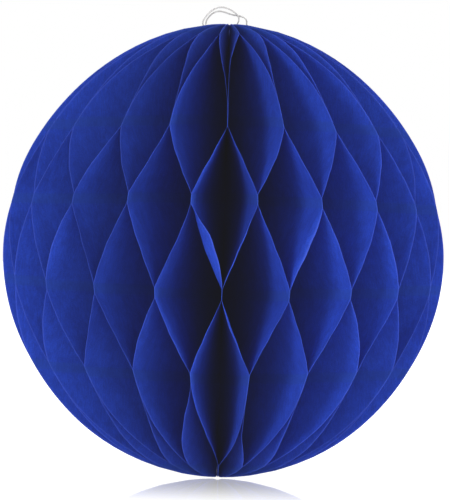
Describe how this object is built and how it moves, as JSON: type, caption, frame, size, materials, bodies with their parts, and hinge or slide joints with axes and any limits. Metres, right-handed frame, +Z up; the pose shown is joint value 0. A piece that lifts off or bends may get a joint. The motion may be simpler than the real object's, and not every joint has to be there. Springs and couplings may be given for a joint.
{
  "type": "paper honeycomb ball",
  "caption": "Round honeycomb ball of blue tissue-paper leaves that fan out from a spine thread between two card covers, with a hanging loop of white string.",
  "frame": {"origin": "the lowest point of the spine's line, where the ball stands on its lower pole", "axes": "+Z up along the spine thread, -Y to the front of the ball, +Y to the seam between the covers"},
  "size_m": [0.25, 0.2493, 0.2673],
  "materials": {
    "tissue_paper": "matte",
    "card": "matte",
    "cotton_string": "matte",
    "blue_thread": "matte",
    "adhesive": "satin"
  },
  "bodies": {
    "spine_and_left_cover": {"cover_left": "card", "adhesive_strip_upper": "adhesive", "adhesive_strip_lower": "adhesive", "spine_thread": "blue_thread", "top_knot": "blue_thread", "bottom_knot": "blue_thread", "hanging_loop": "cotton_string"},
    "right_cover": {"cover_right": "card"},
    "leaf_01_body": {"leaf_01": "tissue_paper"},
    "leaf_02_body": {"leaf_02": "tissue_paper"},
    "leaf_03_body": {"leaf_03": "tissue_paper"},
    "leaf_04_body": {"leaf_04": "tissue_paper"},
    "leaf_05_body": {"leaf_05": "tissue_paper"},
    "leaf_06_body": {"leaf_06": "tissue_paper"},
    "leaf_07_body": {"leaf_07": "tissue_paper"},
    "leaf_08_body": {"leaf_08": "tissue_paper"},
    "leaf_09_body": {"leaf_09": "tissue_paper"},
    "leaf_10_body": {"leaf_10": "tissue_paper"},
    "leaf_11_body": {"leaf_11": "tissue_paper"},
    "leaf_12_body": {"leaf_12": "tissue_paper"},
    "leaf_13_body": {"leaf_13": "tissue_paper"},
    "leaf_14_body": {"leaf_14": "tissue_paper"},
    "leaf_15_body": {"leaf_15": "tissue_paper"},
    "leaf_16_body": {"leaf_16": "tissue_paper"},
    "leaf_17_body": {"leaf_17": "tissue_paper"},
    "leaf_18_body": {"leaf_18": "tissue_paper"},
    "leaf_19_body": {"leaf_19": "tissue_paper"},
    "leaf_20_body": {"leaf_20": "tissue_paper"},
    "leaf_21_body": {"leaf_21": "tissue_paper"},
    "leaf_22_body": {"leaf_22": "tissue_paper"},
    "leaf_23_body": {"leaf_23": "tissue_paper"},
    "leaf_24_body": {"leaf_24": "tissue_paper"},
    "leaf_25_body": {"leaf_25": "tissue_paper"},
    "leaf_26_body": {"leaf_26": "tissue_paper"},
    "leaf_27_body": {"leaf_27": "tissue_paper"},
    "leaf_28_body": {"leaf_28": "tissue_paper"},
    "leaf_29_body": {"leaf_29": "tissue_paper"},
    "leaf_30_body": {"leaf_30": "tissue_paper"},
    "leaf_31_body": {"leaf_31": "tissue_paper"},
    "leaf_32_body": {"leaf_32": "tissue_paper"},
    "leaf_33_body": {"leaf_33": "tissue_paper"},
    "leaf_34_body": {"leaf_34": "tissue_paper"},
    "leaf_35_body": {"leaf_35": "tissue_paper"},
    "leaf_36_body": {"leaf_36": "tissue_paper"},
    "leaf_37_body": {"leaf_37": "tissue_paper"},
    "leaf_38_body": {"leaf_38": "tissue_paper"},
    "leaf_39_body": {"leaf_39": "tissue_paper"},
    "leaf_40_body": {"leaf_40": "tissue_paper"}
  },
  "joints": [
    {"name": "opening_fold", "type": "hinge", "parent": "spine_and_left_cover", "child": "right_cover", "pos_m": [0, 0, 0.1284], "axis": [0, 0, 1], "range_deg": [-354, 0]},
    {"name": "leaf_01_turn", "type": "hinge", "parent": "spine_and_left_cover", "child": "leaf_01_body", "pos_m": [0, 0, 0.1284], "axis": [0, 0, 1], "range_deg": [-4.6, 0], "deforming": ["leaf_01"]},
    {"name": "leaf_02_turn", "type": "hinge", "parent": "spine_and_left_cover", "child": "leaf_02_body", "pos_m": [0, 0, 0.1284], "axis": [0, 0, 1], "range_deg": [-13.4, 0], "deforming": ["leaf_02"]},
    {"name": "leaf_03_turn", "type": "hinge", "parent": "spine_and_left_cover", "child": "leaf_03_body", "pos_m": [0, 0, 0.1284], "axis": [0, 0, 1], "range_deg": [-22.3, 0], "deforming": ["leaf_03"]},
    {"name": "leaf_04_turn", "type": "hinge", "parent": "spine_and_left_cover", "child": "leaf_04_body", "pos_m": [0, 0, 0.1284], "axis": [0, 0, 1], "range_deg": [-31.1, 0], "deforming": ["leaf_04"]},
    {"name": "leaf_05_turn", "type": "hinge", "parent": "spine_and_left_cover", "child": "leaf_05_body", "pos_m": [0, 0, 0.1284], "axis": [0, 0, 1], "range_deg": [-40, 0], "deforming": ["leaf_05"]},
    {"name": "leaf_06_turn", "type": "hinge", "parent": "spine_and_left_cover", "child": "leaf_06_body", "pos_m": [0, 0, 0.1284], "axis": [0, 0, 1], "range_deg": [-48.8, 0], "deforming": ["leaf_06"]},
    {"name": "leaf_07_turn", "type": "hinge", "parent": "spine_and_left_cover", "child": "leaf_07_body", "pos_m": [0, 0, 0.1284], "axis": [0, 0, 1], "range_deg": [-57.7, 0], "deforming": ["leaf_07"]},
    {"name": "leaf_08_turn", "type": "hinge", "parent": "spine_and_left_cover", "child": "leaf_08_body", "pos_m": [0, 0, 0.1284], "axis": [0, 0, 1], "range_deg": [-66.5, 0], "deforming": ["leaf_08"]},
    {"name": "leaf_09_turn", "type": "hinge", "parent": "spine_and_left_cover", "child": "leaf_09_body", "pos_m": [0, 0, 0.1284], "axis": [0, 0, 1], "range_deg": [-75.4, 0], "deforming": ["leaf_09"]},
    {"name": "leaf_10_turn", "type": "hinge", "parent": "spine_and_left_cover", "child": "leaf_10_body", "pos_m": [0, 0, 0.1284], "axis": [0, 0, 1], "range_deg": [-84.2, 0], "deforming": ["leaf_10"]},
    {"name": "leaf_11_turn", "type": "hinge", "parent": "spine_and_left_cover", "child": "leaf_11_body", "pos_m": [0, 0, 0.1284], "axis": [0, 0, 1], "range_deg": [-93.1, 0], "deforming": ["leaf_11"]},
    {"name": "leaf_12_turn", "type": "hinge", "parent": "spine_and_left_cover", "child": "leaf_12_body", "pos_m": [0, 0, 0.1284], "axis": [0, 0, 1], "range_deg": [-101.9, 0], "deforming": ["leaf_12"]},
    {"name": "leaf_13_turn", "type": "hinge", "parent": "spine_and_left_cover", "child": "leaf_13_body", "pos_m": [0, 0, 0.1284], "axis": [0, 0, 1], "range_deg": [-110.8, 0], "deforming": ["leaf_13"]},
    {"name": "leaf_14_turn", "type": "hinge", "parent": "spine_and_left_cover", "child": "leaf_14_body", "pos_m": [0, 0, 0.1284], "axis": [0, 0, 1], "range_deg": [-119.6, 0], "deforming": ["leaf_14"]},
    {"name": "leaf_15_turn", "type": "hinge", "parent": "spine_and_left_cover", "child": "leaf_15_body", "pos_m": [0, 0, 0.1284], "axis": [0, 0, 1], "range_deg": [-128.5, 0], "deforming": ["leaf_15"]},
    {"name": "leaf_16_turn", "type": "hinge", "parent": "spine_and_left_cover", "child": "leaf_16_body", "pos_m": [0, 0, 0.1284], "axis": [0, 0, 1], "range_deg": [-137.3, 0], "deforming": ["leaf_16"]},
    {"name": "leaf_17_turn", "type": "hinge", "parent": "spine_and_left_cover", "child": "leaf_17_body", "pos_m": [0, 0, 0.1284], "axis": [0, 0, 1], "range_deg": [-146.2, 0], "deforming": ["leaf_17"]},
    {"name": "leaf_18_turn", "type": "hinge", "parent": "spine_and_left_cover", "child": "leaf_18_body", "pos_m": [0, 0, 0.1284], "axis": [0, 0, 1], "range_deg": [-155, 0], "deforming": ["leaf_18"]},
    {"name": "leaf_19_turn", "type": "hinge", "parent": "spine_and_left_cover", "child": "leaf_19_body", "pos_m": [0, 0, 0.1284], "axis": [0, 0, 1], "range_deg": [-163.9, 0], "deforming": ["leaf_19"]},
    {"name": "leaf_20_turn", "type": "hinge", "parent": "spine_and_left_cover", "child": "leaf_20_body", "pos_m": [0, 0, 0.1284], "axis": [0, 0, 1], "range_deg": [-172.7, 0], "deforming": ["leaf_20"]},
    {"name": "leaf_21_turn", "type": "hinge", "parent": "spine_and_left_cover", "child": "leaf_21_body", "pos_m": [0, 0, 0.1284], "axis": [0, 0, 1], "range_deg": [-181.6, 0], "deforming": ["leaf_21"]},
    {"name": "leaf_22_turn", "type": "hinge", "parent": "spine_and_left_cover", "child": "leaf_22_body", "pos_m": [0, 0, 0.1284], "axis": [0, 0, 1], "range_deg": [-190.4, 0], "deforming": ["leaf_22"]},
    {"name": "leaf_23_turn", "type": "hinge", "parent": "spine_and_left_cover", "child": "leaf_23_body", "pos_m": [0, 0, 0.1284], "axis": [0, 0, 1], "range_deg": [-199.3, 0], "deforming": ["leaf_23"]},
    {"name": "leaf_24_turn", "type": "hinge", "parent": "spine_and_left_cover", "child": "leaf_24_body", "pos_m": [0, 0, 0.1284], "axis": [0, 0, 1], "range_deg": [-208.1, 0], "deforming": ["leaf_24"]},
    {"name": "leaf_25_turn", "type": "hinge", "parent": "spine_and_left_cover", "child": "leaf_25_body", "pos_m": [0, 0, 0.1284], "axis": [0, 0, 1], "range_deg": [-217, 0], "deforming": ["leaf_25"]},
    {"name": "leaf_26_turn", "type": "hinge", "parent": "spine_and_left_cover", "child": "leaf_26_body", "pos_m": [0, 0, 0.1284], "axis": [0, 0, 1], "range_deg": [-225.8, 0], "deforming": ["leaf_26"]},
    {"name": "leaf_27_turn", "type": "hinge", "parent": "spine_and_left_cover", "child": "leaf_27_body", "pos_m": [0, 0, 0.1284], "axis": [0, 0, 1], "range_deg": [-234.7, 0], "deforming": ["leaf_27"]},
    {"name": "leaf_28_turn", "type": "hinge", "parent": "spine_and_left_cover", "child": "leaf_28_body", "pos_m": [0, 0, 0.1284], "axis": [0, 0, 1], "range_deg": [-243.5, 0], "deforming": ["leaf_28"]},
    {"name": "leaf_29_turn", "type": "hinge", "parent": "spine_and_left_cover", "child": "leaf_29_body", "pos_m": [0, 0, 0.1284], "axis": [0, 0, 1], "range_deg": [-252.4, 0], "deforming": ["leaf_29"]},
    {"name": "leaf_30_turn", "type": "hinge", "parent": "spine_and_left_cover", "child": "leaf_30_body", "pos_m": [0, 0, 0.1284], "axis": [0, 0, 1], "range_deg": [-261.2, 0], "deforming": ["leaf_30"]},
    {"name": "leaf_31_turn", "type": "hinge", "parent": "spine_and_left_cover", "child": "leaf_31_body", "pos_m": [0, 0, 0.1284], "axis": [0, 0, 1], "range_deg": [-270.1, 0], "deforming": ["leaf_31"]},
    {"name": "leaf_32_turn", "type": "hinge", "parent": "spine_and_left_cover", "child": "leaf_32_body", "pos_m": [0, 0, 0.1284], "axis": [0, 0, 1], "range_deg": [-278.9, 0], "deforming": ["leaf_32"]},
    {"name": "leaf_33_turn", "type": "hinge", "parent": "spine_and_left_cover", "child": "leaf_33_body", "pos_m": [0, 0, 0.1284], "axis": [0, 0, 1], "range_deg": [-287.8, 0], "deforming": ["leaf_33"]},
    {"name": "leaf_34_turn", "type": "hinge", "parent": "spine_and_left_cover", "child": "leaf_34_body", "pos_m": [0, 0, 0.1284], "axis": [0, 0, 1], "range_deg": [-296.6, 0], "deforming": ["leaf_34"]},
    {"name": "leaf_35_turn", "type": "hinge", "parent": "spine_and_left_cover", "child": "leaf_35_body", "pos_m": [0, 0, 0.1284], "axis": [0, 0, 1], "range_deg": [-305.5, 0], "deforming": ["leaf_35"]},
    {"name": "leaf_36_turn", "type": "hinge", "parent": "spine_and_left_cover", "child": "leaf_36_body", "pos_m": [0, 0, 0.1284], "axis": [0, 0, 1], "range_deg": [-314.3, 0], "deforming": ["leaf_36"]},
    {"name": "leaf_37_turn", "type": "hinge", "parent": "spine_and_left_cover", "child": "leaf_37_body", "pos_m": [0, 0, 0.1284], "axis": [0, 0, 1], "range_deg": [-323.2, 0], "deforming": ["leaf_37"]},
    {"name": "leaf_38_turn", "type": "hinge", "parent": "spine_and_left_cover", "child": "leaf_38_body", "pos_m": [0, 0, 0.1284], "axis": [0, 0, 1], "range_deg": [-332, 0], "deforming": ["leaf_38"]},
    {"name": "leaf_39_turn", "type": "hinge", "parent": "spine_and_left_cover", "child": "leaf_39_body", "pos_m": [0, 0, 0.1284], "axis": [0, 0, 1], "range_deg": [-340.9, 0], "deforming": ["leaf_39"]},
    {"name": "leaf_40_turn", "type": "hinge", "parent": "spine_and_left_cover", "child": "leaf_40_body", "pos_m": [0, 0, 0.1284], "axis": [0, 0, 1], "range_deg": [-349.7, 0], "deforming": ["leaf_40"]}
  ],
  "couplings": [
    {"joint": "leaf_01_turn", "follows": "opening_fold", "ratio": 0.0125},
    {"joint": "leaf_02_turn", "follows": "opening_fold", "ratio": 0.0375},
    {"joint": "leaf_03_turn", "follows": "opening_fold", "ratio": 0.0625},
    {"joint": "leaf_04_turn", "follows": "opening_fold", "ratio": 0.0875},
    {"joint": "leaf_05_turn", "follows": "opening_fold", "ratio": 0.1125},
    {"joint": "leaf_06_turn", "follows": "opening_fold", "ratio": 0.1375},
    {"joint": "leaf_07_turn", "follows": "opening_fold", "ratio": 0.1625},
    {"joint": "leaf_08_turn", "follows": "opening_fold", "ratio": 0.1875},
    {"joint": "leaf_09_turn", "follows": "opening_fold", "ratio": 0.2125},
    {"joint": "leaf_10_turn", "follows": "opening_fold", "ratio": 0.2375},
    {"joint": "leaf_11_turn", "follows": "opening_fold", "ratio": 0.2625},
    {"joint": "leaf_12_turn", "follows": "opening_fold", "ratio": 0.2875},
    {"joint": "leaf_13_turn", "follows": "opening_fold", "ratio": 0.3125},
    {"joint": "leaf_14_turn", "follows": "opening_fold", "ratio": 0.3375},
    {"joint": "leaf_15_turn", "follows": "opening_fold", "ratio": 0.3625},
    {"joint": "leaf_16_turn", "follows": "opening_fold", "ratio": 0.3875},
    {"joint": "leaf_17_turn", "follows": "opening_fold", "ratio": 0.4125},
    {"joint": "leaf_18_turn", "follows": "opening_fold", "ratio": 0.4375},
    {"joint": "leaf_19_turn", "follows": "opening_fold", "ratio": 0.4625},
    {"joint": "leaf_20_turn", "follows": "opening_fold", "ratio": 0.4875},
    {"joint": "leaf_21_turn", "follows": "opening_fold", "ratio": 0.5125},
    {"joint": "leaf_22_turn", "follows": "opening_fold", "ratio": 0.5375},
    {"joint": "leaf_23_turn", "follows": "opening_fold", "ratio": 0.5625},
    {"joint": "leaf_24_turn", "follows": "opening_fold", "ratio": 0.5875},
    {"joint": "leaf_25_turn", "follows": "opening_fold", "ratio": 0.6125},
    {"joint": "leaf_26_turn", "follows": "opening_fold", "ratio": 0.6375},
    {"joint": "leaf_27_turn", "follows": "opening_fold", "ratio": 0.6625},
    {"joint": "leaf_28_turn", "follows": "opening_fold", "ratio": 0.6875},
    {"joint": "leaf_29_turn", "follows": "opening_fold", "ratio": 0.7125},
    {"joint": "leaf_30_turn", "follows": "opening_fold", "ratio": 0.7375},
    {"joint": "leaf_31_turn", "follows": "opening_fold", "ratio": 0.7625},
    {"joint": "leaf_32_turn", "follows": "opening_fold", "ratio": 0.7875},
    {"joint": "leaf_33_turn", "follows": "opening_fold", "ratio": 0.8125},
    {"joint": "leaf_34_turn", "follows": "opening_fold", "ratio": 0.8375},
    {"joint": "leaf_35_turn", "follows": "opening_fold", "ratio": 0.8625},
    {"joint": "leaf_36_turn", "follows": "opening_fold", "ratio": 0.8875},
    {"joint": "leaf_37_turn", "follows": "opening_fold", "ratio": 0.9125},
    {"joint": "leaf_38_turn", "follows": "opening_fold", "ratio": 0.9375},
    {"joint": "leaf_39_turn", "follows": "opening_fold", "ratio": 0.9625},
    {"joint": "leaf_40_turn", "follows": "opening_fold", "ratio": 0.9875}
  ]
}
